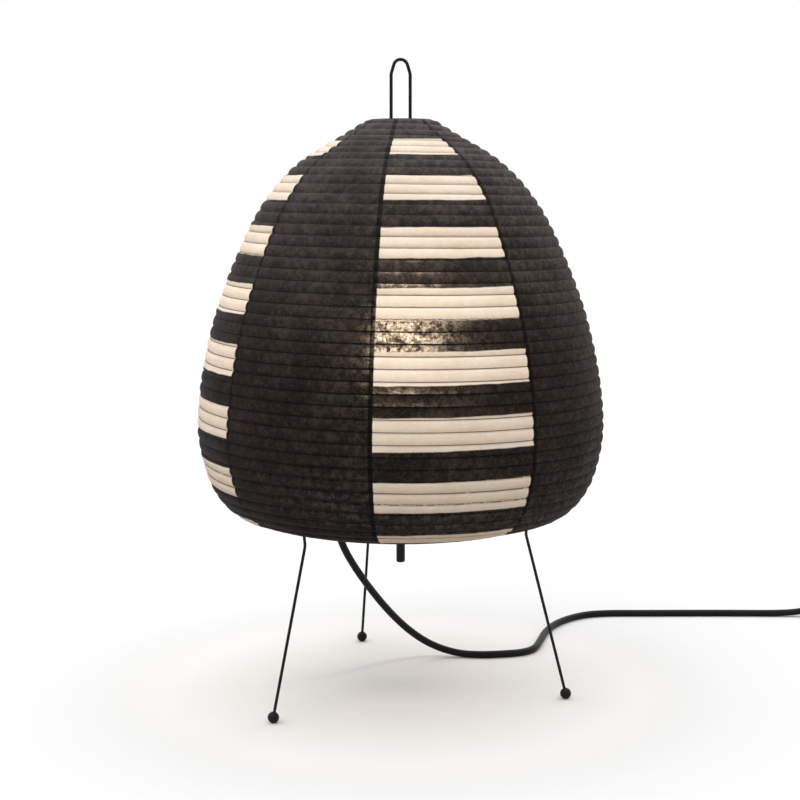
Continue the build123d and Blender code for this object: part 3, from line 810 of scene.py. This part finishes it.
# %% Rib spiral
def rib_tree():
    """A line of points wound down the outline, and swept."""
    tree, add, given = new_group("bamboo_spiral", [
        ("Outline", "Object"), ("Paper Length", "Float"), ("Rib Pitch", "Float"),
        ("Strip Radius", "Float"), ("Below Paper", "Float"), ("Points", "Int"),
        ("Bamboo", "Material")])
    line = add("GeometryNodeMeshLine", {"Count": given["Points"]}, mode="OFFSET")
    last = add(MATH, (given["Points"], 1.0), operation="SUBTRACT")
    along = add(MATH, (add("GeometryNodeInputIndex"), last), operation="DIVIDE")
    along = add(MATH, (along, given["Paper Length"]), operation="MULTIPLY")
    turns = add(MATH, (along, given["Rib Pitch"]), operation="DIVIDE")
    angle = add(MATH, (turns, TURN), operation="MULTIPLY")
    radius, height, out_r, out_z = outline_sample(add, given["Outline"], along)
    inward = add(MATH, (given["Below Paper"], -1.0), operation="MULTIPLY")
    radius = add(MATH, (out_r, inward, radius), operation="MULTIPLY_ADD")
    height = add(MATH, (out_z, inward, height), operation="MULTIPLY_ADD")
    place = round_the_axis(add, angle, radius, height)
    moved = add("GeometryNodeSetPosition", {"Geometry": line, "Position": place})
    path = add("GeometryNodeMeshToCurve", {"Mesh": moved})
    section = add(
        "GeometryNodeCurvePrimitiveCircle", {"Resolution": 6, "Radius": given["Strip Radius"]})
    strip = add("GeometryNodeCurveToMesh", {
        "Curve": path, "Profile Curve": section, "Fill Caps": True})
    finish_group(add, strip, given["Bamboo"])
    return tree


# %% Split bamboo
STREAK_MM = 2.381       # dark fibre ends
NODE_MM = 33.333        # the slow change from one node to the next
SLOW_IN_TONE = 0.4


def split_bamboo():
    """Split bamboo: straw yellow with dark fibre ends and a darker node now and then."""
    material, add = new_material("split_bamboo")
    where = add(COORDINATES).outputs["Object"]
    streak = add(NOISE, {"Vector": where, "Scale": per_metre(STREAK_MM), "Detail": 3.0})
    shade = add(NOISE, {"Vector": where, "Scale": per_metre(NODE_MM), "Detail": 1.0})
    tone = add(MIX, {0: SLOW_IN_TONE, 2: streak, 3: shade})
    colour = add(RAMP, [tone], [(0.35, "#7d5f36"), (0.5, "#b08f58"), (0.65, "#cdb07a")])
    add(OUTPUT, [add(PRINCIPLED, {"Base Color": colour, "Roughness": 0.55})])
    return material


# %% Grow the rib
POINTS_PER_RIB_TURN = 72
STRIP_RADIUS = 0.55 * MM
BELOW_PAPER = 1.25 * MM
rib_turns = outline_length_mm / RIB_PITCH
bamboo_rib = grown("bamboo_spiral_rib", rib_tree(), {
    "Outline": outline, "Paper Length": paper_length, "Rib Pitch": RIB_PITCH * MM,
    "Strip Radius": STRIP_RADIUS, "Below Paper": BELOW_PAPER,
    "Points": int(rib_turns * POINTS_PER_RIB_TURN), "Bamboo": split_bamboo()})
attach(bamboo_rib, "stand")
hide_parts("bamboo_ribs")
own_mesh(bamboo_rib)
bpy.data.objects.remove(outline)
print("rib turns", round(rib_turns, 1), "faces", len(bamboo_rib.data.polygons))

# %% [markdown]
# ## Hard finishes
# Enamelled wire, moulded plastics, brass, nickel and zinc keep their CAD shapes.  A single flat
# colour would look like plastic on all of them, so each takes a finish whose colour, roughness and
# small relief wander at the size of its own grain.  Real mould texture and plating grain are finer
# than a tenth of a millimetre, which wouldn't show, so they are drawn ten times as coarse or more.


# %% Finish maker
def hard_finish(name, colours, grain_mm, roughness, bump_mm, metallic=0.0, specular=0.5):
    """A finish whose colour and roughness wander at the size of its grain."""
    material, add = new_material(name)
    grain = add(NOISE, {
        "Vector": add(COORDINATES).outputs["Object"], "Scale": per_metre(grain_mm),
        "Detail": 3.0, "Roughness": 0.6})
    colour = add(RAMP, [grain], [(0.3, colours[0]), (0.7, colours[1])])
    rough = add(MAP_RANGE, (grain, 0.3, 0.7, *roughness))
    bump = add("ShaderNodeBump", {"Height": grain, "Strength": 0.5, "Distance": bump_mm * MM})
    add(OUTPUT, [add(PRINCIPLED, {
        "Base Color": colour, "Roughness": rough, "Metallic": metallic,
        "Specular IOR Level": specular, "Normal": bump})])
    return material


# %% Black finishes
# stove enamel on wire: a soft satin line of light, never a mirror
black_enamel = hard_finish(
    "satin_black_enamel", ("#050505", "#0a0a0a"), 1.2, (0.42, 0.55), 0.02, specular=0.22)
# ABS from a spark-eroded mould: dark grey rather than black, with a fine even texture
moulded_plastic = hard_finish(
    "moulded_black_abs", ("#111112", "#19191a"), 0.8, (0.42, 0.55), 0.03)
# soft PVC moulded over the lead's ends: duller and more uneven than ABS
soft_pvc = hard_finish(
    "soft_moulded_pvc", ("#070707", "#0d0d0d"), 1.5, (0.45, 0.6), 0.02, specular=0.3)
# PVC drawn over the lead: long faint waves in a nearly black skin
lead_sheath = hard_finish(
    "pvc_lead_sheath", ("#040404", "#080808"), 3.0, (0.42, 0.55), 0.02, specular=0.2)

legs_and_feet = [
    f"{part}_{place}" for part in ("leg", "foot") for place in ("front_left", "front_right", "back")
]
paint(black_enamel, *legs_and_feet, "hub_tube", "stretcher_post", "stretcher_wire",
      "top_cross_bar", "top_ring", "bottom_ring", "holder_bracket")
paint(moulded_plastic, "holder_base", "holder_body", "switch_case_lower", "switch_case_upper",
      "switch_rocker")
paint(soft_pvc, "cord_grip", "cord_tie", "plug_body")
for lead in (lamp_lead, plug_lead):
    lead.data.materials.append(lead_sheath)
print("black finishes on the stand", black_enamel.name, "and the leads", lead_sheath.name)

# %% Metals and ceramic
# stamped brass: warm, with the drawn sheet's faint clouds
stamped_brass = hard_finish(
    "stamped_brass", ("#b8924a", "#d0aa62"), 2.0, (0.25, 0.4), 0.01, metallic=1.0)
# bright nickel plate: the smoothest metal here, slightly warm
nickel_plate = hard_finish(
    "nickel_plate", ("#b9b5ac", "#cbc8c0"), 2.5, (0.16, 0.28), 0.005, metallic=1.0)
# zinc plated screws: blue-grey and a little cloudy
zinc_plate = hard_finish(
    "zinc_plated_steel", ("#9c9ea2", "#b6b8bc"), 1.5, (0.3, 0.45), 0.01, metallic=1.0)
# glazed ceramic: off-white, smooth and slightly glossy
white_ceramic = hard_finish(
    "white_ceramic", ("#d8d5cd", "#e6e3dc"), 3.0, (0.25, 0.35), 0.01)
paint(stamped_brass, "holder_thread_sleeve", "holder_centre_contact")
paint(nickel_plate, "bulb_cap", "bulb_contact", "switch_pivot_pin", "plug_pins")
paint(zinc_plate, "holder_screws", "switch_screws")
paint(white_ceramic, "bulb_insulator", "bulb_light_board")
print("metals", stamped_brass.name, nickel_plate.name, zinc_plate.name)

# %% [markdown]
# ## The lit bulb
# Opal glass scatters the light inside it until the whole ball glows.  Really scattering it is slow
# to render and noisy, so the glass carries a faint warm glow of its own, and a small lamp of the
# same warm white at its middle lights the paper.

# %% Opal glass
WARM_WHITE = "#ffecd6"
BULB_GLOW = 0.42
NECK_GLOW = 0.05
NECK_Z = 214.0 * MM
BALL_Z = 226.0 * MM
OPAL_CLOUD_MM = 16.667
opal, add = new_material("opal_lit_glass")
where = add(COORDINATES).outputs["Object"]
opal_cloud = add(NOISE, {"Vector": where, "Scale": per_metre(OPAL_CLOUD_MM), "Detail": 2.0})
opal_colour = add(RAMP, [opal_cloud], [(0.3, "#cfc3b2"), (0.7, "#d8cdbd")])
# the ball is bright above the light board and only faint down at the neck
height = add(SEPARATE, [where]).outputs["Z"]
glow = add(MAP_RANGE, (height, NECK_Z, BALL_Z, NECK_GLOW, BULB_GLOW))
add(OUTPUT, [add(PRINCIPLED, {
    "Base Color": opal_colour, "Roughness": 0.12, "IOR": 1.5,
    "Emission Color": linear(WARM_WHITE), "Emission Strength": glow})])
paint(opal, "bulb_glass")
print("glass glow", BULB_GLOW)

# %% The lamp inside
BULB_RADIUS = 21.5 * MM
BULB_CENTRE_Z = 238.0 * MM
BULB_WATTS = 0.72
bulb_lamp_data = bpy.data.lights.new("bulb_lamp", "POINT")
bulb_lamp_data.energy = BULB_WATTS
bulb_lamp_data.color = linear(WARM_WHITE)[:3]
bulb_lamp_data.shadow_soft_size = BULB_RADIUS
bulb_lamp = add_object("bulb_lamp", bulb_lamp_data)
bulb_lamp.location = (0, 0, BULB_CENTRE_Z)
bulb_lamp.parent = nodes["bulb_glass"]
# it shines through the glass, which is opal and would otherwise shut it in
lets_through = bpy.data.collections.new("lets_bulb_light_through")
lets_through.objects.link(nodes["bulb_glass"])
for entry in lets_through.collection_objects:
    entry.light_linking.link_state = "EXCLUDE"
bulb_lamp.light_linking.blocker_collection = lets_through
print("bulb watts", BULB_WATTS)
